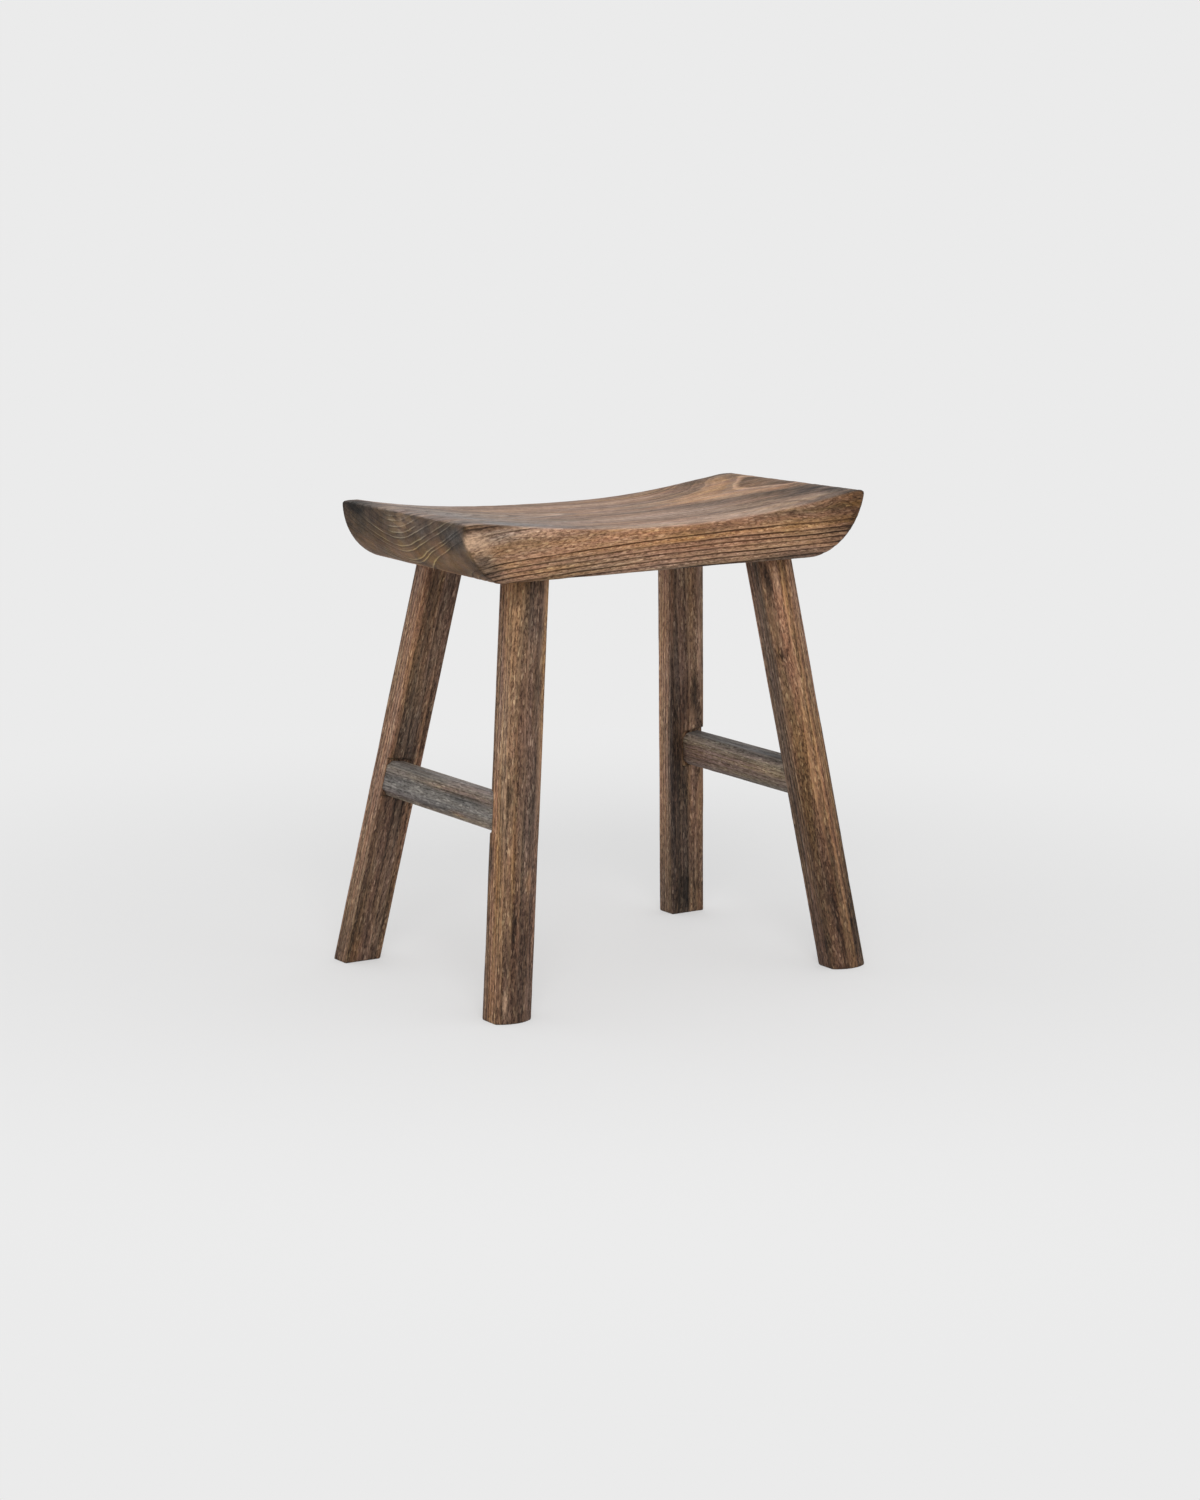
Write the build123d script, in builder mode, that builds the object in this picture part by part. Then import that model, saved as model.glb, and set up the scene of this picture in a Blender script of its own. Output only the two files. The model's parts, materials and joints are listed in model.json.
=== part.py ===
from build123d import *
import os
from math import cos, radians, sin, tan

# Saddle stool: a dished seat block on four splayed legs, with a stretcher between the legs of each end.
# Millimetres, Z up. X runs along the seat, the front faces -Y, and the origin is on the floor under its middle.

os.makedirs("parts", exist_ok=True)

# Seat block
seat_length = 452.5
seat_depth = 213.0
seat_height = 450.5
seat_thickness = 55.8
dish_depth = 17.7
front_right_rise = 4.8
back_drop = 1.6
left_hull_run = 38.0
left_hull_bulge = 10.5
right_hull_run = 60.0
right_hull_bulge = 15.2
seat_edge_radius = 3.0

# The dish as points from the left land to the right land: share of half the length, share of the dish depth
front_dish_shares = ((-0.93, 0.0), (-0.65, 0.44), (-0.3, 0.86), (0.03, 1.0), (0.4, 0.83), (0.7, 0.46), (0.95, 0.0))
back_dish_shares = ((-0.93, 0.0), (-0.66, 0.52), (-0.35, 0.82), (0.0, 0.91), (0.35, 0.84), (0.75, 0.32), (0.93, 0.0))

# Legs: flat inside, crowned outside, cut level at the floor and at the seat
leg_width = 39.2
leg_thickness = 29.0
leg_crown = 6.5
leg_edge_radius = 1.5
foot_edge_radius = 1.0
leg_end_inset = 88.3
leg_side_inset = 33.2
splay_along = 7.94
splay_across = 8.79

# Tenons on top of the legs
leg_tenon_width = 25.0
leg_tenon_thickness = 15.0
leg_tenon_length = 28.0

# Stretchers: bevelled rails that lean with the legs
stretcher_thickness = 23.0
stretcher_height = 34.5
stretcher_top_bevel = 5.0
stretcher_bottom_bevel = 7.0
stretcher_edge_radius = 2.0
stretcher_inset = 1.0
left_stretcher_level = 181.0
right_stretcher_level = 176.0
stretcher_tenon_thickness = 11.0
stretcher_tenon_height = 22.0
stretcher_tenon_length = 13.0

# Joints
housing_depth = 3.0
housing_gap = 2.2
tenon_clearance = 0.15
mortise_end_gap = 1.0
cut_overrun = 5.0

# Levels, slopes and spacing that follow from the sizes above
underside = seat_height - seat_thickness
slope_along = tan(radians(splay_along))
slope_across = tan(radians(splay_across))
leg_top_x = seat_length / 2 - leg_end_inset
leg_top_y = seat_depth / 2 - leg_side_inset
leg_foot_x = leg_top_x + underside * slope_along
leg_foot_y = leg_top_y + underside * slope_across
leg_slant = Vector(slope_along, slope_across, 1).length

ends = {"left": -1, "right": 1}
sides = {"front": -1, "back": 1}
stretcher_levels = {"left": left_stretcher_level, "right": right_stretcher_level}


def upward(end, side):
    """Direction in which a leg climbs towards the seat."""
    return (-end * slope_along, -side * slope_across, 1)


def seat_profile(plane, dish_shares, left_rim, right_rim):
    """Outline of the seat block in one of its long faces."""
    half = seat_length / 2
    left_foot = (-half + left_hull_run, underside)
    right_foot = (half - right_hull_run, underside)
    dish_points = []
    for along_share, drop_share in dish_shares:
        rim = left_rim + (right_rim - left_rim) * (along_share + 1) / 2
        dish_points.append((along_share * half, rim - drop_share * dish_depth))
    with BuildSketch(plane) as profile:
        with BuildLine():
            Line(left_foot, right_foot)
            SagittaArc(right_foot, (half, right_rim), -right_hull_bulge)
            Line((half, right_rim), dish_points[-1])
            Spline(*dish_points)
            Line(dish_points[0], (-half, left_rim))
            SagittaArc((-half, left_rim), left_foot, -left_hull_bulge)
        make_face()
    return profile.sketch


def tenon_outline(end, side, clearance):
    """Outline of a leg's tenon, or of its mortise, at the underside of the seat."""
    with BuildSketch(Plane(origin=(end * leg_top_x, side * leg_top_y, underside))) as outline:
        Rectangle(leg_tenon_width + 2 * clearance, leg_tenon_thickness + 2 * clearance)
    return outline.sketch


# Seat: the two long faces are drawn and joined by straight lines from front to back
front_plane = Plane.XZ.offset(seat_depth / 2)
back_plane = Plane.XZ.offset(-seat_depth / 2)
front_profile = seat_profile(front_plane, front_dish_shares, seat_height, seat_height + front_right_rise)
back_profile = seat_profile(back_plane, back_dish_shares, seat_height - back_drop, seat_height - back_drop)

with BuildPart() as seat:
    loft([front_profile, back_profile], ruled=True)
    fillet(seat.edges(), radius=seat_edge_radius)
    for end in ends.values():
        for side in sides.values():
            extrude(
                tenon_outline(end, side, tenon_clearance),
                amount=(leg_tenon_length + mortise_end_gap) * leg_slant,
                dir=upward(end, side),
                mode=Mode.SUBTRACT,
            )
seat.part.label = "seat"
export_step(seat.part, "parts/seat.step")

# Stretchers lie in planes that lean with the legs: in each, x runs outward and y up along the leg
outer_face = leg_width / 2 * cos(radians(splay_along)) - stretcher_inset
stretcher_middle = outer_face - stretcher_thickness / 2


def leaning_plane(end, level):
    """Plane across the stretcher, halfway between front and back."""
    lean = radians(splay_along)
    middle_x = leg_top_x + (underside - level) * slope_along
    return Plane(origin=(end * middle_x, 0, level), x_dir=(end * cos(lean), 0, sin(lean)), z_dir=(0, -end, 0))


def housing_floor(side):
    """Plane of the bottom of the housings in the legs' inner faces, looking at the middle of the stool."""
    lean = radians(splay_across)
    inward = Vector(0, -side * cos(lean), -sin(lean))
    face_point = Vector(0, side * (leg_top_y - leg_thickness / 2), underside)
    return Plane(origin=face_point - inward * housing_depth, z_dir=inward)


def tenon_reach(level):
    """Distance from the middle plane to the end of a stretcher's tenon."""
    face_y = leg_top_y - leg_thickness / 2 + (underside - level) * slope_across
    return face_y + housing_depth / cos(radians(splay_across)) + stretcher_tenon_length


def stretcher_solid(end, level):
    """Bevelled rail, cut to the floors of its housings, with a tenon at each end."""
    plane = leaning_plane(end, level)
    with BuildPart() as rail:
        with BuildSketch(plane):
            with Locations((stretcher_middle, 0)):
                Rectangle(stretcher_thickness, stretcher_height)
            corners = vertices().sort_by(Axis.Y)
            chamfer(corners[:2], length=stretcher_bottom_bevel)
            chamfer(corners[2:], length=stretcher_top_bevel)
            fillet(vertices(), radius=stretcher_edge_radius)
        extrude(amount=tenon_reach(level), both=True)
        for side in sides.values():
            split(bisect_by=housing_floor(side), keep=Keep.TOP)
        with BuildSketch(plane):
            with Locations((stretcher_middle, 0)):
                Rectangle(stretcher_tenon_thickness, stretcher_tenon_height)
        extrude(amount=tenon_reach(level), both=True)
    return rail.part


for end_name, end in ends.items():
    stretcher = stretcher_solid(end, stretcher_levels[end_name])
    stretcher.label = "stretcher_" + end_name
    export_step(stretcher, "parts/" + stretcher.label + ".step")


def housing_cutter(end, side, level):
    """Space of a stretcher's end in a leg: a square housing, open on the outer face, and a deeper mortise."""
    plane = leaning_plane(end, level)
    inner_edge = outer_face - stretcher_thickness - housing_gap
    outer_edge = leg_width / 2 + cut_overrun
    reach = tenon_reach(level) + mortise_end_gap
    with BuildPart() as cutter:
        with BuildSketch(plane):
            with Locations((inner_edge, -stretcher_height / 2)):
                Rectangle(
                    outer_edge - inner_edge,
                    stretcher_height + housing_gap,
                    align=(Align.MIN, Align.MIN),
                )
        extrude(amount=reach, both=True)
        split(bisect_by=housing_floor(side), keep=Keep.TOP)
        with BuildSketch(plane):
            with Locations((stretcher_middle, 0)):
                Rectangle(
                    stretcher_tenon_thickness + 2 * tenon_clearance,
                    stretcher_tenon_height + 2 * tenon_clearance,
                )
        extrude(amount=-end * side * reach)
    return cutter.part


def leg_solid(end, side, level):
    """Splayed leg with a tenon on top and the housing and mortise for the stretcher in its inner face."""
    half_width = leg_width / 2
    inner = -side * leg_thickness / 2
    shoulder = side * (leg_thickness / 2 - leg_crown)
    crown = side * leg_thickness / 2
    with BuildPart() as leg:
        with BuildSketch(Plane(origin=(end * leg_foot_x, side * leg_foot_y, 0))):
            with BuildLine():
                Polyline(
                    (half_width, shoulder),
                    (half_width, inner),
                    (-half_width, inner),
                    (-half_width, shoulder),
                )
                ThreePointArc((-half_width, shoulder), (0, crown), (half_width, shoulder))
            make_face()
            fillet(vertices(), radius=leg_edge_radius)
        extrude(amount=underside * leg_slant, dir=upward(end, side))
        foot_edges = leg.faces().sort_by(Axis.Z)[0].edges()
        fillet(foot_edges, radius=foot_edge_radius)
        extrude(
            tenon_outline(end, side, 0),
            amount=leg_tenon_length * leg_slant,
            dir=upward(end, side),
        )
        add(housing_cutter(end, side, level), mode=Mode.SUBTRACT)
    return leg.part


for end_name, end in ends.items():
    for side_name, side in sides.items():
        leg = leg_solid(end, side, stretcher_levels[end_name])
        leg.label = "leg_" + side_name + "_" + end_name
        export_step(leg, "parts/" + leg.label + ".step")
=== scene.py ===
import json
from math import cos, radians, sin, tan

import bmesh
import bpy
import numpy as np
from mathutils import Matrix, Vector


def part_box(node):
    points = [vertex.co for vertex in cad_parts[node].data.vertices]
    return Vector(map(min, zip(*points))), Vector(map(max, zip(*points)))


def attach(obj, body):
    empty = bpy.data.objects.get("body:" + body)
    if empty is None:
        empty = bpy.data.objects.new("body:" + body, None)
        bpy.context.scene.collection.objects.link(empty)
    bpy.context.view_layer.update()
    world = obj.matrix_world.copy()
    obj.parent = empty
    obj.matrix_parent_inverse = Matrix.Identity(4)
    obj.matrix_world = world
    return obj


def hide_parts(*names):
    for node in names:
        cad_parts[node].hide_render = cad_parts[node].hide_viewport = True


bl_info = {
    "name": "Saddle stool",
    "version": (1, 0, 0),
    "blender": (4, 5, 0),
    "location": "3D Viewport > Sidebar > Stool",
    "description": "Dresses the frame of a saddle stool in brushed, brown-stained wood",
    "category": "Add Mesh",
}

# Metres, Z up, the same frame as the solids. X runs along the seat and the front faces -Y.
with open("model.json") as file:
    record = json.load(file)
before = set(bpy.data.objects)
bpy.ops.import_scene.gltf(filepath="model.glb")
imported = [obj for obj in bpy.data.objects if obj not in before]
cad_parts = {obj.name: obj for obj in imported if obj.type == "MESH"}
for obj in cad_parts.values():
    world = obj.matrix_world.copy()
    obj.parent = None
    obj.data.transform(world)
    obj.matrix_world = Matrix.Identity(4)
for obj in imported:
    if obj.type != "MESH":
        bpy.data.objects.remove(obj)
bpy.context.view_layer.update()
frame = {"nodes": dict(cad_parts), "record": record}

MM = 0.001

# How the legs lean, along and across the seat, as in the frame
SPLAY_ALONG = radians(7.94)
SPLAY_ACROSS = radians(8.79)

# The seat's grain climbs a little to the right
SEAT_GRAIN_CLIMB = 0.055

ENDS = {"left": -1, "right": 1}
SIDES = {"front": -1, "back": 1}

# Corners of the frame's loose triangles that lie closer than this, in metres, are one corner
WELD = 1e-6

# Depth below the pith at which each year's growth ends, in millimetres, on the plane through the pith
SEAT_YEARS = (4, 9.5, 15, 20, 28, 33, 42, 45, 52, 80, 86, 90.5, 95, 100, 104.5, 110, 115, 121, 126)
RAIL_YEARS = (
    6, 13, 18, 24, 30, 35, 41, 46, 51, 55, 60, 64, 68, 73, 77, 81, 86, 90, 95, 99, 104, 109, 114, 120,
)
# The last year, below all these, is this wide
LAST_YEAR = 4

# A year ends in a hard rim, and the next starts with porous wood. Both keep their width, in millimetres, and
# their share of the year, however broad it is.
RIM_WIDTH = 0.9
RIM_SHARE = 0.2
POROUS_WIDTH = 1.6
POROUS_SHARE = 0.25

# Shares of a year over which its porous early wood ends, its hard rim starts and the next early wood starts
EARLY_ENDS = (0.12, 0.36)
RIM_STARTS = (0.72, 0.88)
EARLY_STARTS = (0.95, 1.0)

# How the grain of a real trunk strays: size of a bend along the grain and both ways across it, and how far it
# pushes the grain each way, in millimetres, then its detail
SWAY = ((260, 70, 70), 4.5, 1.0)
WOBBLE = ((45, 12, 12), 0.8, 2.0)

# Each piece's place in the log that it was sawn from, in millimetres: where along the log it starts, and how
# far from the pith its own middle lies, across the grain and down from it
LOG_PLACES = {
    "seat": (0, -20, -457),
    "leg_front_left": (900, 26, -70),
    "leg_front_right": (1900, -30, -56),
    "leg_back_left": (2700, 38, -78),
    "leg_back_right": (3600, -24, -61),
    "stretcher_left": (4300, 32, -50),
    "stretcher_right": (5100, 18, -71),
}

# Knots and swirls, which push the grain aside: middle, reach and push in the piece's own log, in millimetres
# along the grain and then across it
SWIRLS = {
    "seat": [
        ((205, 92, 437), (60, 44, 60), (0, 0, 18)),
        ((205, -20, 438), (30, 22, 40), (0, 0, 4)),
        ((168, -106, 437), (18, 20, 9), (0, 0, 7)),
        ((-214, -110, 432), (18, 12, 22), (0, 0, 4)),
        ((300, -115, 415), (190, 34, 60), (0, 0, 12)),
    ],
    "leg_front_right": [((302, -12, -12), (9, 12, 14), (0, 1.5, 1))],
}

# Places that stain, wear or hands left different, and painted shade where shade falls: on the legs' faces
# towards the stool's inside, under the seat's top front edge and along its lower front edge. Middle and
# reach in the piece's own log, in millimetres, then how much lighter the place is, how much warmer, and how
# far the stain is rubbed through there. Zeros at the end of a row are left out. These marks end more sharply
# than swirls do.
MARK_FIRMNESS = 1.6
MARKS_AND_PAINTED_SHADE = {
    "seat": [
        ((-222, -107, 448), (12, 5, 4), 0.1, 0.2, 0.8),
        ((-226, -107, 442), (10, 5, 3), 0.15, 0, 0.9),
        ((-205, -107, 440), (7, 5, 7), 0.1, 0.2, 0.5),
        ((-216, -107, 449), (16, 6, 7), 0.1, 0.3, 0.5),
        ((-135, -107, 449), (40, 5, 7), 0.85),
        ((-60, -107, 438), (50, 5, 5), 0.22),
        ((42, -107, 429), (38, 5, 4), -0.32),
        ((-95, -107, 421), (45, 5, 7), -0.25),
        ((65, -107, 402), (35, 5, 5), 0.15),
        ((-160, -107, 449), (50, 4, 3), 0.15, 0.1),
        # Painted shadow: a dark brown line just under the top front edge, at the left
        ((-197, -107, 458), (46, 6, 4), -0.42, 0.5),
        ((-212, -106, 418), (17, 10, 14), -0.35, -0.4),
        ((-70, -106, 428), (70, 8, 10), 0.12, 0.1),
        ((20, -106, 427), (60, 8, 7), 0.12, 0.2),
        ((-130, -107, 402), (30, 5, 6), -0.15, 0.1),
        ((228, -107, 413), (22, 10, 20), -0.54, 0.5),
        ((205, -107, 418), (28, 9, 26), -0.42, 0.1),
        ((200, -107, 437), (30, 8, 14), -0.2, 0.1),
        ((130, -107, 415), (40, 5, 6), 0.35),
        ((145, -107, 432), (55, 5, 4), -0.38),
        # Painted shade along the lower front edge: darker and greyer there
        ((-130, -108, 400), (70, 9, 5), -0.35, -0.4),
        ((0, -108, 393), (70, 9, 5), -0.45, -0.4),
        ((130, -108, 388), (70, 9, 6), -0.55, -0.6),
        ((-228, 106, 450), (16, 34, 34), -0.6, -0.3),
        ((-228, 50, 458), (14, 44, 10), -0.3, -0.1),
        ((-226, 5, 450), (16, 26, 7), 0.4, 0.3),
        ((-222, -20, 422), (24, 60, 22), 0.28),
        ((-220, -84, 450), (20, 22, 14), -0.4, -0.8),
        ((-210, -62, 426), (20, 24, 12), 0.1, 0.4),
        ((-216, -6, 422), (20, 30, 9), 0.15, 0.5),
        ((-224, 84, 463), (24, 34, 8), -0.3, -0.5),
        ((-150, -84, 450), (80, 22, 9), 0, -0.6),
        ((-196, -10, 454), (60, 120, 14), 0, -0.7),
        ((-130, -24, 450), (90, 120, 16), 0.08, -0.5),
        ((0, -42, 434), (130, 14, 40), 0.5, -0.2),
        ((40, -88, 434), (120, 14, 12), 0.45, -0.2),
        ((0, -6, 434), (80, 9, 40), -0.12, -0.3),
        ((0, 56, 434), (120, 16, 40), 0.42),
        ((165, -50, 437), (60, 36, 40), -0.3, 0.2),
        ((204, -70, 441), (30, 34, 12), -0.25),
        ((190, -26, 438), (24, 12, 12), -0.25, 0.1),
        ((205, 74, 438), (22, 18, 12), -0.25, 0.1),
        ((80, 74, 432), (50, 14, 14), 0.35, 0.1),
        ((105, 0, 434), (40, 9, 12), -0.18),
        ((-150, 94, 452), (60, 14, 14), 0.75, -0.6),
        ((-214, 90, 456), (12, 30, 12), -0.3),
        ((212, 92, 445), (16, 16, 14), -0.6),
        ((60, 19, 434), (30, 9, 40), -0.35, -0.3),
        ((145, 6, 437), (30, 18, 40), 0.3, -0.35),
        ((30, -26, 434), (90, 16, 40), 0.32),
        ((-196, -30, 454), (30, 24, 14), 0.38, -0.1),
        ((-200, -82, 456), (30, 24, 12), 0.08, -0.4),
        ((212, -78, 445), (18, 12, 14), -0.6),
        ((216, -19, 445), (14, 12, 14), -0.4, 0.1),
        ((30, -66, 434), (50, 14, 14), 0.22),
        ((-60, 8, 438), (45, 18, 20), 0.22, -0.1),
        ((-90, 37, 440), (40, 12, 20), 0.2),
        ((15, 12, 434), (35, 14, 40), 0, -0.35),
        ((170, 30, 437), (70, 60, 40), 0, 0.5),
        ((165, 98, 436), (50, 20, 16), -0.2, 0.1),
        ((130, 84, 432), (50, 14, 12), -0.2, 0.2),
        ((214, -54, 441), (30, 34, 14), -0.2, -0.2),
        ((226, -100, 443), (24, 26, 12), -0.3),
        ((150, -76, 437), (50, 9, 10), -0.05, -0.1),
        ((180, -108, 446), (40, 4, 4), 0.1, 0, 0.5),
        ((-52, -20, 437), (6, 2, 5), 0.3, 0, 0.9),
        ((-117, 0, 445), (4, 2, 5), 0.3, 0, 0.8),
        ((-165, 78, 452), (50, 10, 14), 0.05, -0.4),
        ((-206, -107, 430), (10, 6, 8), -0.4, -0.4),
        ((-196, -107, 418), (12, 6, 8), -0.4, -0.4),
        ((-186, -107, 409), (12, 6, 5), -0.25, -0.3),
        ((85, -107, 423), (45, 5, 6), 0.22),
        ((160, -107, 428), (30, 5, 5), -0.2),
        ((214, -107, 438), (18, 6, 9), 0.1, 0.5),
    ],
    "leg_front_left": [
        ((200, -21, -1), (600, 4, 8), 0.34, 0.2),
        ((200, -20, 15), (500, 5, 4), -0.35, -0.4),
        ((240, 6, -16), (200, 13, 5), -0.3, -0.3),
        ((30, 2, -16), (80, 17, 8), -0.6, -0.1),
        ((370, 4, -14), (40, 12, 6), -0.3, -0.3),
        ((374, -17, -10), (7, 4, 4), -0.5),
        ((230, -18, -9), (9, 3, 3), -0.5),
        ((204, -16, -10), (12, 3, 3), -0.6),
        ((204, -20, -7), (12, 2, 3), 0.1, 0.2, 0.4),
        ((165, -10, -13), (50, 5, 4), 0.2),
        ((300, -17, -11), (110, 3.5, 5), 0.4),
        ((290, -12, -13), (70, 4, 5), -0.15, -0.4),
        ((124, 8, -14), (10, 5, 4), 0.3, 0.6, 0.15),
        ((84, -8, -14), (16, 3, 3), -0.3),
        ((142, -20, 10), (16, 4, 5), -0.35, -0.6),
        ((12, -18, -9), (14, 8, 6), -0.3),
        ((18, -13, -12), (8, 2, 3), 0.3, 0, 0.6),
        ((300, 17, -10), (90, 3, 5), 0.3, 0.4, 0.1),
        ((240, 14, -11), (170, 4.5, 5), 0.42),
        ((293, 5, -14), (30, 4, 5), -0.25),
        ((352, -17, -11), (30, 3, 5), 0.3),
        ((232, -17, -11), (25, 3, 5), 0.3),
        ((293, -5, -14), (25, 4, 5), -0.25),
        ((45, -16, -10), (35, 5, 8), -0.25),
    ],
    "leg_back_left": [
        ((260, -21, 0), (220, 4, 12), 0.36, -0.1),
        ((200, -21, 0), (600, 4, 16), 0, -0.35),
        # Painted shade: the face towards the stool's inside, darker and greyer
        ((250, 0, -16), (600, 20, 5), -0.33, -0.3),
        ((300, 6, -15), (120, 2, 4), 0.2, 0.1),
        ((200, 12, -15), (120, 2, 4), 0.18, 0.2),
        ((290, 14, -15), (60, 5, 4), -0.1, -0.1),
        ((200, -20, -9), (300, 3, 6), 0.3),
        ((300, -16, -15), (50, 5, 4), 0.4),
        ((318, 12, -15), (50, 4, 4), 0.35),
        ((22, 2, -15), (18, 10, 5), 0.35),
        ((90, -16, -15), (100, 4, 4), -0.38),
        ((90, 3, -15), (70, 6, 4), 0.2),
        ((232, 17, -15), (30, 4, 4), -0.35),
        ((12, -9, -15), (14, 6, 5), 0.2, 0.3),
        ((60, 18, -15), (80, 4, 4), -0.3),
        ((10, -21, 4), (40, 6, 14), -0.35, 0.1),
        ((10, 0, -15), (40, 26, 8), -0.2),
        ((290, -5, -15), (22, 3.5, 4), 0.3),
        ((225, 7, -15), (60, 3, 4), -0.25),
        ((22, 0, -15), (16, 3, 4), -0.25),
    ],
    "leg_back_right": [
        ((270, -21, 0), (200, 4, 12), 0.75, -0.4),
        # Painted shade: the low part of the face towards the stool's inside, darker and greyer
        ((20, -21, 0), (60, 4, 12), -0.25, -0.3),
        # A darker, greyer band down the left half of the inner face
        ((130, -14, -15), (270, 9, 5), -0.56, -0.4),
        ((60, -3, -15), (110, 5, 5), -0.42, -0.4),
        ((112, 12, -15), (45, 12, 5), -0.2),
        ((110, -20, -13), (220, 4, 4), -0.3, -0.2),
        ((232, 2, -15), (26, 14, 5), -0.42),
        ((232, 7, -15), (22, 4, 4), -0.6),
        ((300, -21, 0), (90, 4, 12), 0.4),
        ((341, -5, -15), (40, 13, 5), 0.38),
        ((285, 12, -15), (28, 4, 4), 0.85),
        ((200, 5, -16), (600, 22, 5), 0, -0.2),
        ((30, 17, -15), (80, 6, 5), -0.35),
        ((15, -4, -15), (30, 10, 5), -0.2),
        ((29, 10, -15), (7, 8, 5), -0.3),
        ((230, 8, -15), (160, 4, 4), 0.2),
        ((200, 15, -15), (18, 6, 5), -0.3, -0.2),
        ((22, -7, -15), (28, 7, 5), -0.4),
    ],
    "leg_front_right": [
        # Painted shade: the face towards the stool's inside, darker and greyer
        ((220, -21, 6), (600, 4, 14), -0.3, -0.4),
        ((20, -20, 6), (60, 4, 14), -0.25),
        ((200, 0, -14), (600, 22, 9), 0, 0.3),
        ((345, -14, -12), (30, 6, 6), -0.2),
        ((345, -4, -14), (30, 6, 5), 0.42),
        ((270, -21, 6), (150, 4, 10), 0.08),
        ((310, 14, -11), (70, 4.5, 5), 0.3),
        ((50, -9, -13), (50, 5, 6), -0.3),
        ((111, -2, -15), (40, 4, 5), -0.4),
        ((375, -14, -11), (16, 6, 6), -0.5),
        ((372, -7, -14), (14, 3, 3), 0.1, 0, 0.4),
        ((302, -13, -12), (4, 9, 7), -0.5),
        ((280, 2, -15), (110, 12, 6), 0.22, 0.1),
        ((50, -20, -8), (80, 5, 9), -0.3, -0.1),
        ((50, 4, -14), (100, 18, 9), -0.3),
        ((70, 17, -10), (90, 6, 8), -0.35),
        ((20, -19, -8), (16, 6, 8), -0.2),
        ((150, -20, -4), (50, 4, 10), -0.3),
        ((70, 5, -15), (70, 3, 4), 0.3, 0.3, 0.1),
        ((30, 10, -13), (50, 6, 6), -0.4),
        ((0, -6, -12), (16, 20, 12), -0.2),
        ((343, -21, 0), (35, 4, 12), 0.25),
        ((343, 0, -14), (25, 4, 5), 0.25),
    ],
    "stretcher_left": [
        ((0, 12, -3), (130, 7, 11), -0.14, -1.9),
        ((-30, 11, 8), (70, 4, 3), 0.15, 1.7),
        ((-20, 4, 18), (60, 6, 3), 0.35, -0.5),
        ((40, 8, 15), (60, 6, 4), -0.1, -1.0),
        ((-35, 11, -12), (14, 5, 3), 0.25, 2.4),
        ((-65, 10, -12), (34, 5, 6), 0.15, 1.1),
        ((105, 12, 0), (12, 6, 14), -0.2, 0.3),
        ((-48, 12, 5), (34, 6, 6), -0.28, -0.5),
    ],
    "stretcher_right": [
        ((0, -4, 18), (110, 9, 5), -0.35, -0.8),
        ((60, -6, 17), (60, 8, 5), -0.15, -0.6),
        ((0, -12, 0), (120, 6, 11), 0, 0.9),
        ((-80, -12, 0), (26, 6, 14), -0.1, 1.2),
        ((55, -12, 3), (45, 6, 6), 0.12, 0.3),
        ((30, -8, -16), (80, 7, 6), -0.45, -0.5),
        ((45, -12, 5), (28, 6, 7), 0.32),
        ((-20, -12, 0), (60, 6, 12), 0, 0.5),
    ],
}

# How the seat's upper face changes with the depth below the pith: depth in millimetres, lighter, warmer
SEAT_TONES = (
    (0, 0.0, 0.0), (9, 0.0, 0.0), (13, -0.45, 0.0), (19, -0.5, 0.1), (19.8, 0.6, -0.1), (21, 0.7, -0.1),
    (21.6, 0.4, 0.1), (25, 0.5, 0.1), (26, 0.15, 0.1), (28.5, 0.1, 0.0), (30, -0.3, 0.0), (38, -0.3, 0.0),
    (40, -0.15, 0.0), (42, 0.05, 0.0), (44, -0.06, 0.0), (47, 0.1, 0.0), (52, -0.08, 0.0), (56, 0.0, 0.0),
    (60, 0.2, 0.0),
)
# The legs and stretchers show no such change
RAIL_TONES = ((0, 0.0, 0.0), (60, 0.0, 0.0))
# The seat's tones rise to their full strength over this stretch of its log, in millimetres, from this share
TONES_RISE = (30.0, 120.0)
TONES_START = 0.3

# The rims of the rings show on the end grain within a reach each way from a line beside the pith. Line and
# reach differ around the pith, which ends between two depths. All in millimetres.
PITH_ENDS = (18.0, 15.0)
RIMS_ASIDE = 32.0
RIMS_ASIDE_AT_PITH = 18.0
RIMS_REACH = 88.0
RIMS_REACH_AT_PITH = 28.0

# Cosines between which a face becomes end grain, by its angle to the grain, an upper face, by its tilt, and a
# sharp edge, by its angle to its surroundings
END_GRAIN_COSINES = (0.3, 0.62)
UPPER_COSINES = (0.55, 0.95)
EDGE_COSINES = (1.0, 0.9)

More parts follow.
